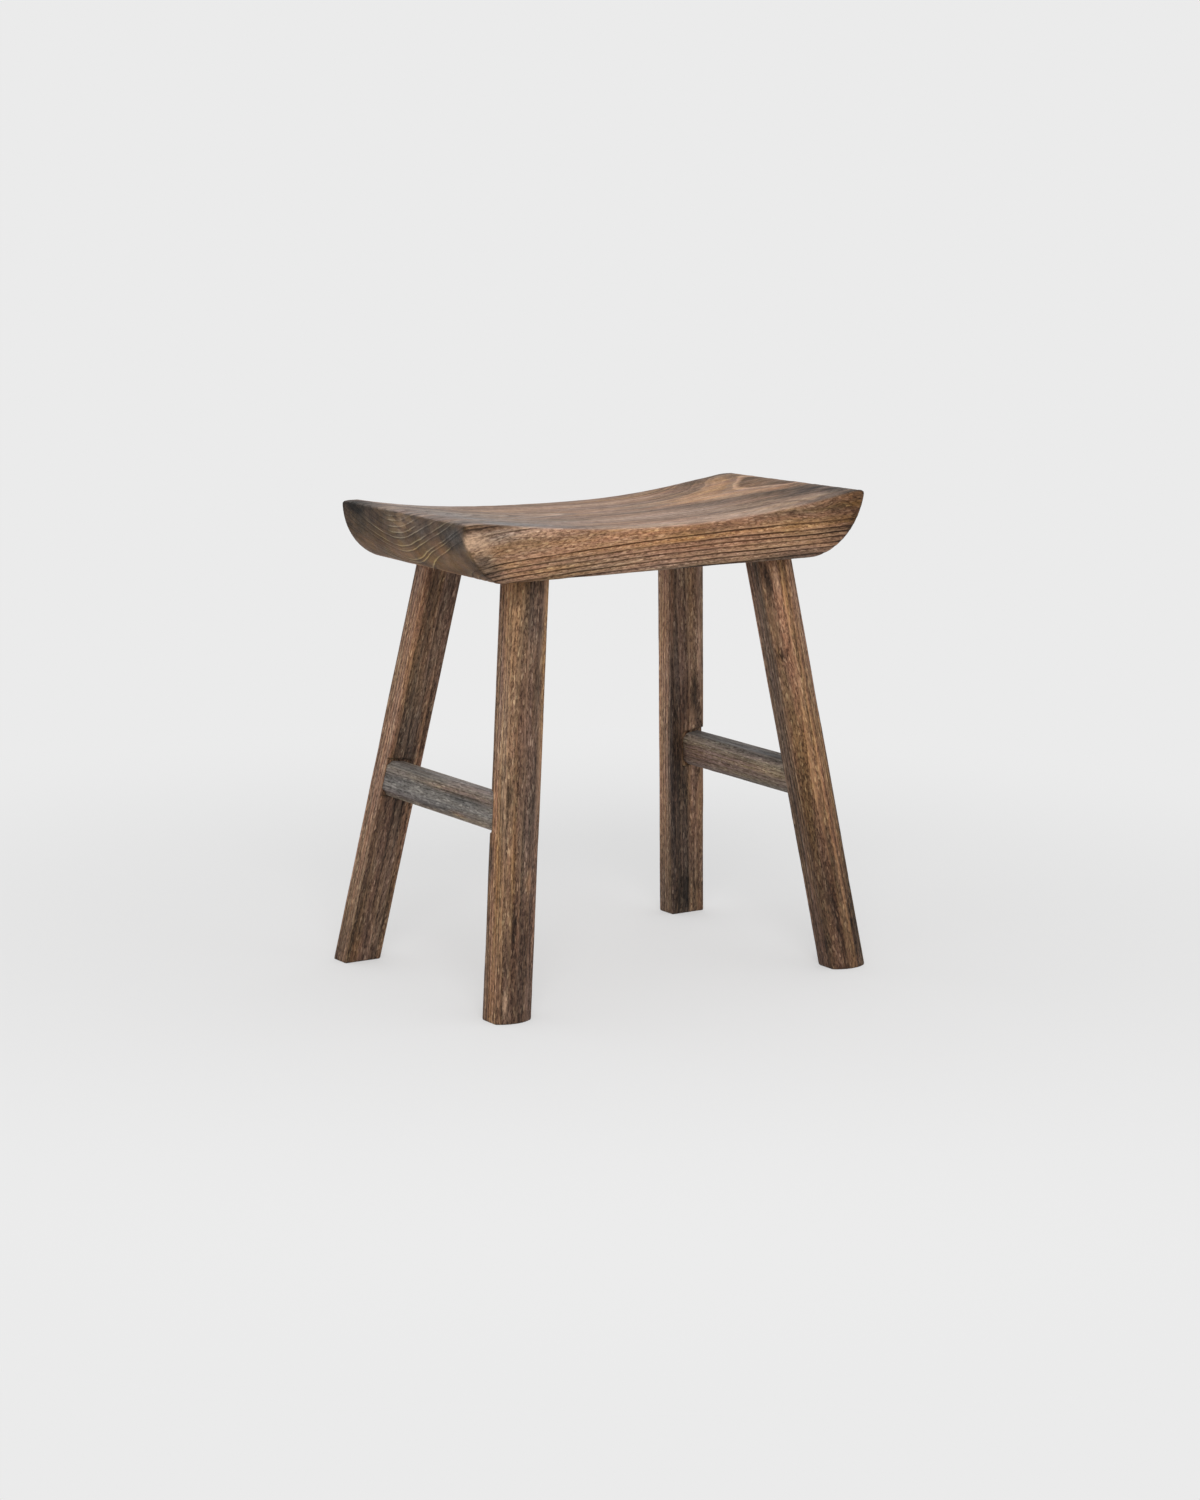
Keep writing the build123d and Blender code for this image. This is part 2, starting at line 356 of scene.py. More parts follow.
# What is uneven over the wood, as noise stretched along the grain: whether it strays with the grain or runs
# straight, its size in millimetres along the grain, across it and down, its detail and its roughness
CARVED_NOISES = {
    # The finest that the mesh can hold; the material adds the finer ones
    "brush marks": ("strayed", (40, 2.5, 2.5), 1.0, 0.5),
    "hollows": ("straight", (90, 38, 38), 1.0, 0.5),
    "dents": ("straight", (14, 6, 6), 2.0, 0.5),
}
STAIN_NOISES = {
    # Real fibres, flecks and pores are two to four times finer and wouldn't show
    "fibres": ("strayed", (18, 1.8, 1.8), 3.0, 0.6),
    "flecks": ("strayed", (4.5, 1.3, 1.3), 3.0, 0.75),
    # The stain took unevenly, in patches of a hand's width along the grain
    "patches": ("straight", (120, 24, 24), 3.0, 0.5),
    # Streaks run the length of the piece, three times as broad on an upper face, where the board is flat-sawn
    "streaks": ("strayed", (210, 8, 7), 2.0, 0.5),
    "broad streaks": ("strayed", (260, 24, 60), 2.0, 0.6),
    # Each ring's dark start is strong in places and faint in others
    "ring starts": ("strayed", (70, 5, 5), 1.0, 0.5),
    # Around the pith the end grain is paler in places
    "pale spots": ("straight", (60, 14, 6), 1.0, 0.5),
}
# The brush split the hard wood into slivers of this size, which are drawn coarser than real ones too
SLIVER = (5, 1.1, 1.1)

# Linear tints that the stain takes in places, and that of its greyed parts
REDDISH = (1.05, 0.95, 0.98, 1)
YELLOWISH = (1.01, 0.99, 0.86, 1)
GREYISH = (1.0, 0.99, 0.99)

# Floor and lamp, in metres. Between two distances from its middle the floor fades into the backdrop, of
# which it already has this share at the middle.
FLOOR_RADIUS = 9.0
FLOOR_SIDES = 96
FLOOR_FADE = (0.4, 1.2)
FLOOR_FADE_START = 0.45
LAMP_PLACE = (-1.5, -2.3, 2.2)
LAMP_AIM = (0, 0, 0.25)
LAMP_SIZE = 1.6

# The camera that fits the photo's outlines, in radians and metres. It stands 3.5 m off at twice the stool's
# height, turned 35 degrees from the front.
CAMERA_TURN = 0.6088
CAMERA_DISTANCE = 3.54128
CAMERA_HEIGHT = 0.90085
CAMERA_YAW = -0.0007
CAMERA_PITCH = 0.1933
CAMERA_ROLL = 0.0149
CAMERA_SIGHT = 100

# Settings of the timber: name, description, and the unit of a number or the subtype of a colour
TIMBER_SETTINGS = {
    "cell": ("Mesh cell", "Mesh cell across the grain", "LENGTH"),
    "cell_stretch": ("Cell stretch", "Length of a mesh cell along the grain, in cells", "NONE"),
    "ring_bow": ("Ring bow", "How broadly the rings turn under the pith, in millimetres", "NONE"),
    "ring_slope": ("Ring slope", "How steeply the rings climb beside the pith", "NONE"),
    "waviness": ("Waviness", "Depth of the hollows that hand planing left", "LENGTH"),
    "groove_depth": ("Groove depth", "Depth of the brushed-out early wood", "LENGTH"),
    "fibre_depth": ("Fibre depth", "Depth of the brush marks", "LENGTH"),
    "edge_wear": ("Edge wear", "Wood worn off the sharp edges", "LENGTH"),
    "rows": ("Pore rows", "How dark the row of pores is that starts each year", "NONE"),
    "pores": ("Pores", "How dark the scattered pores are", "NONE"),
    "slivers": ("Slivers", "How much the stain changes from one sliver to the next", "NONE"),
    "banding": ("Banding", "How much the stain changes from one streak to the next", "NONE"),
    # How dark the sharp edges are painted, as painted shade
    "painted_edge_shade": ("Edge stain", "How dark the stain gathered on the sharp edges", "NONE"),
    # Upper faces painted paler and greyer stand for their sheen, and partly for dust
    "bleaching_and_painted_sheen": ("Bleaching", "How much paler the upper faces have become", "NONE"),
    "greying_and_painted_sheen": ("Greying", "How far the upper faces have lost their colour", "NONE"),
    "light": ("Hard fibres", "Stain on the hard fibres", "COLOR"),
    "proud": ("Rubbed fibres", "Stain on the proudest fibres", "COLOR"),
    "dark": ("Soft fibres", "Stain on the soft fibres", "COLOR"),
    "pore": ("Pore stain", "Stain in the pores", "COLOR"),
    "bare": ("Bare wood", "Wood whose stain is rubbed through", "COLOR"),
    "end_dark": ("End grain, dark", "End grain that drank the most stain", "COLOR"),
    "end_light": ("End grain, light", "End grain that drank the least stain", "COLOR"),
    "end_pore": ("End grain, pores", "Early wood of the end grain", "COLOR"),
    "end_pith": ("End grain, pith", "Pale spots around the pith", "COLOR"),
    "end_rim": ("End grain, rims", "Hard rims of the rings on the end grain", "COLOR"),
}


def linear(code):
    """Turns an sRGB hex colour into the linear colour that shaders work in."""
    shares = [int(code[i : i + 2], 16) / 255 for i in (1, 3, 5)]
    return tuple(s / 12.92 if s <= 0.04045 else ((s + 0.055) / 1.055) ** 2.4 for s in shares)


def timber(field, default):
    """Property for one of the timber's settings. The default of a colour is its hex code."""
    name, description, kind = TIMBER_SETTINGS[field]
    if kind == "COLOR":
        return bpy.props.FloatVectorProperty(
            name=name, description=description, subtype=kind, default=linear(default)
        )
    return bpy.props.FloatProperty(name=name, description=description, unit=kind, default=default)


class TimberSettings:
    """Sizes and colours that every piece of timber has."""

    cell: timber("cell", 0.6 * MM)
    cell_stretch: timber("cell_stretch", 3.0)
    ring_bow: timber("ring_bow", 30.0)
    ring_slope: timber("ring_slope", 0.8)
    waviness: timber("waviness", 0.5 * MM)
    groove_depth: timber("groove_depth", 0.3 * MM)
    fibre_depth: timber("fibre_depth", 0.25 * MM)
    edge_wear: timber("edge_wear", 0.5 * MM)
    rows: timber("rows", 0.3)
    pores: timber("pores", 0.4)
    slivers: timber("slivers", 0.38)
    banding: timber("banding", 1.5)
    painted_edge_shade: timber("painted_edge_shade", 0.5)
    bleaching_and_painted_sheen: timber("bleaching_and_painted_sheen", 0.0)
    greying_and_painted_sheen: timber("greying_and_painted_sheen", 0.2)
    light: timber("light", "#94765E")
    proud: timber("proud", "#BCA184")
    dark: timber("dark", "#533D32")
    pore: timber("pore", "#2C1C13")
    bare: timber("bare", "#CDAA8C")
    end_dark: timber("end_dark", "#33271E")
    end_light: timber("end_light", "#82684E")
    end_pore: timber("end_pore", "#261C15")
    end_pith: timber("end_pith", "#96794E")
    end_rim: timber("end_rim", "#A99878")


class SeatSettings(TimberSettings, bpy.types.PropertyGroup):
    """Sizes and colours of the seat block."""

    cell: timber("cell", 1.03 * MM)
    cell_stretch: timber("cell_stretch", 4.0)
    ring_bow: timber("ring_bow", 12.0)
    ring_slope: timber("ring_slope", 0.47)
    waviness: timber("waviness", 0.8 * MM)
    rows: timber("rows", 0.85)
    pores: timber("pores", 0.28)
    slivers: timber("slivers", 0.26)
    banding: timber("banding", 0.9)
    painted_edge_shade: timber("painted_edge_shade", 0.25)
    bleaching_and_painted_sheen: timber("bleaching_and_painted_sheen", 0.18)
    greying_and_painted_sheen: timber("greying_and_painted_sheen", 0.28)
    light: timber("light", "#AE8B6E")
    proud: timber("proud", "#CDAC8C")
    dark: timber("dark", "#674B37")
    pore: timber("pore", "#3A2416")


class LegSettings(TimberSettings, bpy.types.PropertyGroup):
    """Sizes and colours of the legs."""


class StretcherSettings(TimberSettings, bpy.types.PropertyGroup):
    """Sizes and colours of the stretchers."""

    rows: timber("rows", 0.2)
    pores: timber("pores", 0.2)
    slivers: timber("slivers", 0.22)
    greying_and_painted_sheen: timber("greying_and_painted_sheen", 0.4)
    light: timber("light", "#8F857D")
    proud: timber("proud", "#B0A69B")
    dark: timber("dark", "#5F554D")
    pore: timber("pore", "#2F2924")


class StageSettings(bpy.types.PropertyGroup):
    """Floor, light and camera."""

    backdrop: bpy.props.FloatVectorProperty(
        name="Backdrop",
        description="Colour of the floor and the backdrop",
        subtype="COLOR",
        default=linear("#EBEBEB"),
    )
    ambient: bpy.props.FloatProperty(
        name="Ambient", description="Strength of the soft light all round", default=0.74
    )
    key_power: bpy.props.FloatProperty(
        name="Key power", description="Power of the lamp at the front left", default=38.0, unit="POWER"
    )
    lens: bpy.props.FloatProperty(
        name="Lens", description="Focal length", default=90.93 * MM, unit="LENGTH"
    )


def add(tree, kind, inputs=(), output=0, **settings):
    """Adds a node with its settings, fills or links its inputs and gives back one of its outputs."""
    node = tree.nodes.new(kind)
    for name, value in settings.items():
        setattr(node, name, value)
    for key, value in inputs.items() if isinstance(inputs, dict) else enumerate(inputs):
        if isinstance(value, bpy.types.NodeSocket):
            tree.links.new(value, node.inputs[key])
        else:
            node.inputs[key].default_value = value
    return node.outputs[output] if node.outputs else node


def curve(tree, given, reach, points):
    """Value at the given place along the reach, on a line through points, each a place and a value."""
    share = add(tree, "ShaderNodeMath", (given, reach), operation="DIVIDE")
    followed = add(tree, "ShaderNodeFloatCurve", {"Factor": 1.0, "Value": share})
    mapping = followed.node.mapping
    line = mapping.curves[0].points
    for (start, level), point in zip((points[0], points[-1]), line):
        point.location = (start / reach, level)
    for place, level in points[1:-1]:
        line.new(place / reach, level)
    for point in line:
        point.handle_type = "VECTOR"
    mapping.update()
    return followed


def years_at(tree, depth, years):
    """Years of growth at a depth below the pith."""
    most = len(years) + 1
    bottom = years[-1] + LAST_YEAR
    points = [(0, 0)]
    for year, end in enumerate(years, 1):
        points.append((end - RIM_WIDTH, (year - RIM_SHARE) / most))
        points.append((end + POROUS_WIDTH, (year + POROUS_SHARE) / most))
    points.append((bottom, 1))
    grown = curve(tree, depth, bottom, points)
    return add(tree, "ShaderNodeMath", (grown, float(most)), operation="MULTIPLY")


def grain_pattern(tree, grain, years, bow, slope):
    """Wood's own pattern at a point of the log, in millimetres along the grain and across it from the pith.

    The point first strays, as in a real trunk. The rings are far from round: under the pith they turn in a
    bow, and beside it they climb straight. The same nodes carve the mesh and colour it. Gives the strayed
    point, its depth under the pith, how far through its year it is, and the share of early wood there.
    """
    point = grain
    for size, stray, detail in (SWAY, WOBBLE):
        push = (point, [1 / length for length in size])
        push = add(tree, "ShaderNodeVectorMath", push, operation="MULTIPLY")
        push = add(tree, "ShaderNodeTexNoise", {"Vector": push, "Scale": 1.0, "Detail": detail}, "Color")
        push = (push, (0, 2 * stray, 2 * stray), (0, -stray, -stray))
        push = add(tree, "ShaderNodeVectorMath", push, operation="MULTIPLY_ADD")
        point = add(tree, "ShaderNodeVectorMath", (point, push), operation="ADD")
    _, sideways, height = add(tree, "ShaderNodeSeparateXYZ", (point,)).node.outputs
    depth = add(tree, "ShaderNodeMath", (sideways, slope), operation="MULTIPLY")
    depth = add(tree, "ShaderNodeMath", (depth, depth), operation="MULTIPLY")
    bow_squared = add(tree, "ShaderNodeMath", (bow, bow), operation="MULTIPLY")
    depth = add(tree, "ShaderNodeMath", (depth, bow_squared), operation="ADD")
    depth = add(tree, "ShaderNodeMath", (depth,), operation="SQRT")
    depth = add(tree, "ShaderNodeMath", (depth, bow), operation="SUBTRACT")
    depth = add(tree, "ShaderNodeMath", (depth, height), operation="SUBTRACT")
    phase = add(tree, "ShaderNodeMath", (years_at(tree, depth, years),), operation="FRACT")
    smooth = {"interpolation_type": "SMOOTHSTEP"}
    early = add(tree, "ShaderNodeMapRange", (phase, *EARLY_ENDS, 1.0, 0.0), **smooth)
    onset = add(tree, "ShaderNodeMapRange", (phase, *EARLY_STARTS, 0.0, 1.0), **smooth)
    early = add(tree, "ShaderNodeMath", (early, onset), operation="ADD")
    return point, depth, phase, early


def grain_noises(tree, kinds, point, grain, seed=None):
    """Noise of each of these kinds, by its name. With a seed it is another noise for each seed."""
    seeded = {} if seed is None else {"W": seed}
    noises = {}
    for kind, (course, size, detail, roughness) in kinds.items():
        place = ({"strayed": point, "straight": grain}[course], [1 / length for length in size])
        place = add(tree, "ShaderNodeVectorMath", place, operation="MULTIPLY")
        given = {"Vector": place, "Scale": 1.0, "Detail": detail, "Roughness": roughness, **seeded}
        noises[kind] = add(tree, "ShaderNodeTexNoise", given, noise_dimensions="4D" if seeded else "3D")
    return noises


def socket(tree, name, kind, value=None, into="INPUT"):
    """Adds a socket to a node group's face."""
    made = tree.interface.new_socket(name, in_out=into, socket_type=kind)
    if value is not None:
        made.default_value = value


def worked_surface_tree(name, years):
    """Hand work over any piece: hollows of the plane, brushed-out early wood, brush marks, worn edges.

    The surface attribute that it leaves holds how much a point is end grain, how near a sharp edge it is,
    and how far it faces up.
    """
    tree = bpy.data.node_groups.new(name, "GeometryNodeTree")
    socket(tree, "Geometry", "NodeSocketGeometry")
    socket(tree, "Geometry", "NodeSocketGeometry", into="OUTPUT")
    for label in ("Waviness", "Groove depth", "Fibre depth", "Edge wear", "Ring bow", "Ring slope"):
        socket(tree, label, "NodeSocketFloat")
    socket(tree, "Seed", "NodeSocketFloat", 7.0)
    socket(tree, "Grain direction", "NodeSocketVector")
    socket(tree, "Material", "NodeSocketMaterial")
    given = tree.nodes.new("NodeGroupInput").outputs

    smooth = {"interpolation_type": "SMOOTHSTEP"}
    normal = add(tree, "GeometryNodeInputNormal")
    along = (normal, given["Grain direction"])
    along = add(tree, "ShaderNodeVectorMath", along, "Value", operation="DOT_PRODUCT")
    along = add(tree, "ShaderNodeMath", (along,), operation="ABSOLUTE")
    end_grain = add(tree, "ShaderNodeMapRange", (along, *END_GRAIN_COSINES, 0.0, 1.0), **smooth)
    mean = {"Value": normal, "Iterations": 4}
    mean = add(tree, "GeometryNodeBlurAttribute", mean, data_type="FLOAT_VECTOR")
    mean = add(tree, "ShaderNodeVectorMath", (mean,), operation="NORMALIZE")
    bend = add(tree, "ShaderNodeVectorMath", (mean, normal), "Value", operation="DOT_PRODUCT")
    edge = add(tree, "ShaderNodeMapRange", (bend, *EDGE_COSINES, 0.0, 1.0))
    upward = add(tree, "ShaderNodeSeparateXYZ", (normal,), 2)
    upward = add(tree, "ShaderNodeMapRange", (upward, *UPPER_COSINES, 0.0, 1.0), **smooth)
    surface = add(tree, "ShaderNodeCombineXYZ", (end_grain, edge, upward))
    kept = add(
        tree,
        "GeometryNodeStoreNamedAttribute",
        {"Geometry": given["Geometry"], "Name": "surface", "Value": surface},
        data_type="FLOAT_VECTOR",
        domain="POINT",
    )

    grain = add(tree, "GeometryNodeInputNamedAttribute", {"Name": "grain"}, data_type="FLOAT_VECTOR")
    point, _, _, early = grain_pattern(tree, grain, years, given["Ring bow"], given["Ring slope"])
    noises = grain_noises(tree, CARVED_NOISES, point, grain, given["Seed"])
    side_grain = add(tree, "ShaderNodeMath", (end_grain, -0.85, 1.0), operation="MULTIPLY_ADD")
    groove = add(tree, "ShaderNodeMath", (early, side_grain), operation="MULTIPLY")
    rubbed_flat = add(tree, "ShaderNodeMath", (upward, -0.7, 1.0), operation="MULTIPLY_ADD")
    groove = add(tree, "ShaderNodeMath", (groove, rubbed_flat), operation="MULTIPLY")
    groove = add(tree, "ShaderNodeMath", (groove, given["Groove depth"]), operation="MULTIPLY")
    brushed = add(tree, "ShaderNodeMath", (noises["brush marks"], -0.5), operation="ADD")
    brushed = add(tree, "ShaderNodeMath", (brushed, given["Fibre depth"]), operation="MULTIPLY")
    hollow = add(tree, "ShaderNodeMath", (noises["hollows"], -0.5), operation="ADD")
    hollow = add(tree, "ShaderNodeMath", (hollow, given["Waviness"]), operation="MULTIPLY")
    worn = add(tree, "ShaderNodeMath", (noises["dents"], edge), operation="MULTIPLY")
    worn = add(tree, "ShaderNodeMath", (worn, given["Edge wear"]), operation="MULTIPLY")
    height = add(tree, "ShaderNodeMath", (hollow, brushed), operation="ADD")
    height = add(tree, "ShaderNodeMath", (height, groove), operation="SUBTRACT")
    height = add(tree, "ShaderNodeMath", (height, worn), operation="SUBTRACT")
    offset = add(tree, "ShaderNodeVectorMath", {0: normal, "Scale": height}, operation="SCALE")
    carved = add(tree, "GeometryNodeSetPosition", {"Geometry": kept, "Offset": offset})
    shaded = add(tree, "GeometryNodeSetShadeSmooth", {"Geometry": carved, "Shade Smooth": True})
    real = add(tree, "GeometryNodeRealizeInstances", {"Geometry": shaded})
    finished = add(tree, "GeometryNodeSetMaterial", {"Geometry": real, "Material": given["Material"]})
    add(tree, "NodeGroupOutput", {"Geometry": finished})
    return tree


def soaked_end(tree, look, grain, depth, early, rim, patch_tone, patch_wear, spots):
    """Colour of the end grain, which drank the stain.

    Only the hard rim of each ring stayed pale there, where it wasn't rubbed off. Around the pith the rims are
    short, and the wood between them is paler in spots.
    """
    smooth = {"interpolation_type": "SMOOTHSTEP"}
    unrubbed = add(tree, "ShaderNodeMapRange", (patch_wear, 0.36, 0.55, 0.15, 0.65))
    rim = add(tree, "ShaderNodeMath", (rim, unrubbed), operation="MULTIPLY")
    sideways = add(tree, "ShaderNodeSeparateXYZ", (grain,), 1)
    inner = add(tree, "ShaderNodeMapRange", (depth, *PITH_ENDS, 0.0, 1.0), **smooth)
    line = (inner, RIMS_ASIDE_AT_PITH - RIMS_ASIDE, RIMS_ASIDE)
    line = add(tree, "ShaderNodeMath", line, operation="MULTIPLY_ADD")
    aside = add(tree, "ShaderNodeMath", (sideways, line), operation="ADD")
    aside = add(tree, "ShaderNodeMath", (aside,), operation="ABSOLUTE")
    reach = (inner, RIMS_REACH_AT_PITH - RIMS_REACH, RIMS_REACH)
    reach = add(tree, "ShaderNodeMath", reach, operation="MULTIPLY_ADD")
    full = add(tree, "ShaderNodeMath", (reach, 0.6), operation="MULTIPLY")
    near = add(tree, "ShaderNodeMapRange", (aside, reach, full, 0.0, 1.0), **smooth)
    rim = add(tree, "ShaderNodeMath", (rim, near), operation="MULTIPLY")
    pale = add(tree, "ShaderNodeMapRange", (spots, 0.46, 0.56, 0.0, 0.4), **smooth)
    pale = add(tree, "ShaderNodeMath", (pale, near), operation="MULTIPLY")
    pale = add(tree, "ShaderNodeMath", (pale, inner), operation="MULTIPLY")
    porous = add(tree, "ShaderNodeMath", (early, 0.35), operation="MULTIPLY")
    colour = {0: patch_tone, 6: (*look.end_dark, 1), 7: (*look.end_light, 1)}
    colour = add(tree, "ShaderNodeMix", colour, 2, data_type="RGBA")
    for share, stain in ((porous, look.end_pore), (pale, look.end_pith), (rim, look.end_rim)):
        colour = add(tree, "ShaderNodeMix", {0: share, 6: colour, 7: (*stain, 1)}, 2, data_type="RGBA")
    return colour


def arches(tree, look, grain, depth, upward, tones):
    """How much lighter and how much warmer an upper face is where the rings lie nearly flat under it.

    They show there as broad arches, each of its own tone. They are strong at the seat's right end and fade
    towards its middle. A curve can't go below 0, so its half stands for no change.
    """
    lengthways = add(tree, "ShaderNodeSeparateXYZ", (grain,), 0)
    figured = (lengthways, *TONES_RISE, TONES_START, 1.0)
    figured = add(tree, "ShaderNodeMapRange", figured, interpolation_type="SMOOTHSTEP")
    reach = tones[-1][0]
    lighter = curve(tree, depth, reach, [(place, 0.5 + tone) for place, tone, _ in tones])
    lighter = add(tree, "ShaderNodeMath", (lighter, -0.5), operation="ADD")
    # Painted sheen: upper faces are also painted paler all over by this share, partly for dust
    lighter = add(tree, "ShaderNodeMath", (lighter, figured, look.bleaching_and_painted_sheen), operation="MULTIPLY_ADD")
    lighter = add(tree, "ShaderNodeMath", (lighter, upward), operation="MULTIPLY")
    warmer = curve(tree, depth, reach, [(place, 0.5 + warmth) for place, _, warmth in tones])
    warmer = add(tree, "ShaderNodeMath", (warmer, -0.5), operation="ADD")
    warmer = add(tree, "ShaderNodeMath", (warmer, upward), operation="MULTIPLY")
    return lighter, warmer


def stained_timber(name, look, years, tones):
    """Brushed elm under a brown stain.

    Wire brushing cut away its porous early wood, which then drank the stain and shows dark, while the hard
    fibres stay proud and pale. The stain left it matt, so it has only a dull sheen. The tones say how its
    upper faces change with the depth below the pith.
    """
    material = bpy.data.materials.new(name)
    material.use_nodes = True
    tree = material.node_tree
    tree.nodes.clear()
    grain = add(tree, "ShaderNodeAttribute", output="Vector", attribute_name="grain")
    surface = add(tree, "ShaderNodeAttribute", output="Vector", attribute_name="surface")
    end_grain, edge, upward = add(tree, "ShaderNodeSeparateXYZ", (surface,)).node.outputs
    marks = add(tree, "ShaderNodeAttribute", output="Vector", attribute_name="marks")
    rubbed, lighter, warmer = add(tree, "ShaderNodeSeparateXYZ", (marks,)).node.outputs
    point, depth, phase, early = grain_pattern(tree, grain, years, look.ring_bow, look.ring_slope)
    noises = grain_noises(tree, STAIN_NOISES, point, grain)
    patch = noises["patches"].node.outputs["Color"]
    patch_tone, patch_warmth, patch_wear = add(tree, "ShaderNodeSeparateColor", (patch,)).node.outputs
    streak = noises["streaks"].node.outputs["Color"]
    streak_tone, streak_warmth, streak_hue = add(tree, "ShaderNodeSeparateColor", (streak,)).node.outputs
    sliver = (point, [1 / length for length in SLIVER])
    sliver = add(tree, "ShaderNodeVectorMath", sliver, operation="MULTIPLY")
    sliver = add(tree, "ShaderNodeTexVoronoi", {"Vector": sliver, "Scale": 1.0}, "Color")
    sliver_tone, sliver_pride, sliver_hue = add(tree, "ShaderNodeSeparateColor", (sliver,)).node.outputs
    sliver_tone = add(tree, "ShaderNodeMath", (sliver_tone, -0.5), operation="ADD")

    # The upper faces are rubbed smooth, so there the long fibres show more than the flecks and pores
    rough = add(tree, "ShaderNodeMath", (upward, -0.6, 1.0), operation="MULTIPLY_ADD")
    fibre = add(tree, "ShaderNodeMapRange", (noises["fibres"], 0.3, 0.7, 0.0, 1.0))
    fleck = add(tree, "ShaderNodeMapRange", (noises["flecks"], 0.58, 0.42, 0.0, 1.0))
    share = add(tree, "ShaderNodeMath", (rough, 0.5), operation="MULTIPLY")
    hard = add(tree, "ShaderNodeMix", {0: share, 2: fibre, 3: fleck})
    # The scattered pores are a little larger and darker in early wood
    least = add(tree, "ShaderNodeMath", (early, -0.05, 0.54), operation="MULTIPLY_ADD")
    most = add(tree, "ShaderNodeMath", (least, 0.13), operation="ADD")
    pore = add(tree, "ShaderNodeMapRange", (noises["flecks"], least, most, 0.0, 1.0))
    pore = add(tree, "ShaderNodeMath", (pore, rough), operation="MULTIPLY")
    scattered = add(tree, "ShaderNodeMath", (early, 0.15, look.pores), operation="MULTIPLY_ADD")
    scattered = add(tree, "ShaderNodeMath", (scattered, pore), operation="MULTIPLY", use_clamp=True)
    strength = add(tree, "ShaderNodeMapRange", (noises["ring starts"], 0.35, 0.65, 0.65, 1.15))
    row = add(tree, "ShaderNodeMath", (early, strength), operation="MULTIPLY")
    dark_row = add(tree, "ShaderNodeMath", (row, look.rows), operation="MULTIPLY")
    dark_row = add(tree, "ShaderNodeMath", (dark_row, rough), operation="MULTIPLY")
    # The proudest slivers and the hard rim that ends each year are pale
    pride = add(tree, "ShaderNodeMapRange", (sliver_pride, 0.8, 0.95, 0.0, 0.6))
    pride = add(tree, "ShaderNodeMath", (pride, rough), operation="MULTIPLY")
    rim = (phase, *RIM_STARTS, 0.0, 1.0)
    rim = add(tree, "ShaderNodeMapRange", rim, interpolation_type="SMOOTHSTEP")
    closed = add(tree, "ShaderNodeMath", (1.0, early), operation="SUBTRACT")
    rim = add(tree, "ShaderNodeMath", (rim, closed), operation="MULTIPLY")
    pale_rim = add(tree, "ShaderNodeMath", (rim, 0.5), operation="MULTIPLY")
    body = {0: hard, 6: (*look.dark, 1), 7: (*look.light, 1)}
    body = add(tree, "ShaderNodeMix", body, 2, data_type="RGBA")
    for share, stain in (
        (pride, look.proud),
        (scattered, look.pore),
        (dark_row, look.pore),
        (pale_rim, look.light),
    ):
        body = add(tree, "ShaderNodeMix", {0: share, 6: body, 7: (*stain, 1)}, 2, data_type="RGBA")
    soaked = soaked_end(
        tree, look, grain, depth, early, rim, patch_tone, patch_wear, noises["pale spots"]
    )
    colour = add(tree, "ShaderNodeMix", {0: end_grain, 6: body, 7: soaked}, 2, data_type="RGBA")

    # Reddish in places and yellowish in others, and a little from sliver to sliver
    tint = add(tree, "ShaderNodeMath", (patch_wear, streak_hue), operation="ADD")
    tint = add(tree, "ShaderNodeMath", (sliver_hue, 0.22, tint), operation="MULTIPLY_ADD")
    tint = add(tree, "ShaderNodeMapRange", (tint, 0.9, 1.32, 0.0, 1.0))
    tint = add(tree, "ShaderNodeMix", {0: tint, 6: REDDISH, 7: YELLOWISH}, 2, data_type="RGBA")
    colour = add(tree, "ShaderNodeVectorMath", (colour, tint), operation="MULTIPLY")

    # How strong the colour is: patches, streaks, marks and arches, less on the upper faces, which are painted
    # greyer for their sheen and partly for dust
    arch_tone, arch_warmth = arches(tree, look, grain, depth, upward, tones)
    saturation = add(tree, "ShaderNodeMath", (patch_warmth, 0.7, 0.65), operation="MULTIPLY_ADD")
    wash = add(tree, "ShaderNodeMath", (streak_warmth, -0.5), operation="ADD")
    saturation = add(tree, "ShaderNodeMath", (wash, 0.6, saturation), operation="MULTIPLY_ADD")
    # Painted sheen: upper faces lose colour, for their sheen and partly for dust
    fade = add(tree, "ShaderNodeMath", (upward, -look.greying_and_painted_sheen, 1.0), operation="MULTIPLY_ADD")
    saturation = add(tree, "ShaderNodeMath", (saturation, fade), operation="MULTIPLY")
    saturation = add(tree, "ShaderNodeMath", (warmer, 0.4, saturation), operation="MULTIPLY_ADD")
    saturation = add(tree, "ShaderNodeMath", (saturation, arch_warmth), operation="ADD")
    grey = add(tree, "ShaderNodeRGBToBW", (colour,))
    grey = add(tree, "ShaderNodeVectorMath", {0: GREYISH, "Scale": grey}, operation="SCALE")
    colour = {0: saturation, 6: grey, 7: colour}
    colour = add(tree, "ShaderNodeMix", colour, 2, data_type="RGBA", clamp_factor=False)

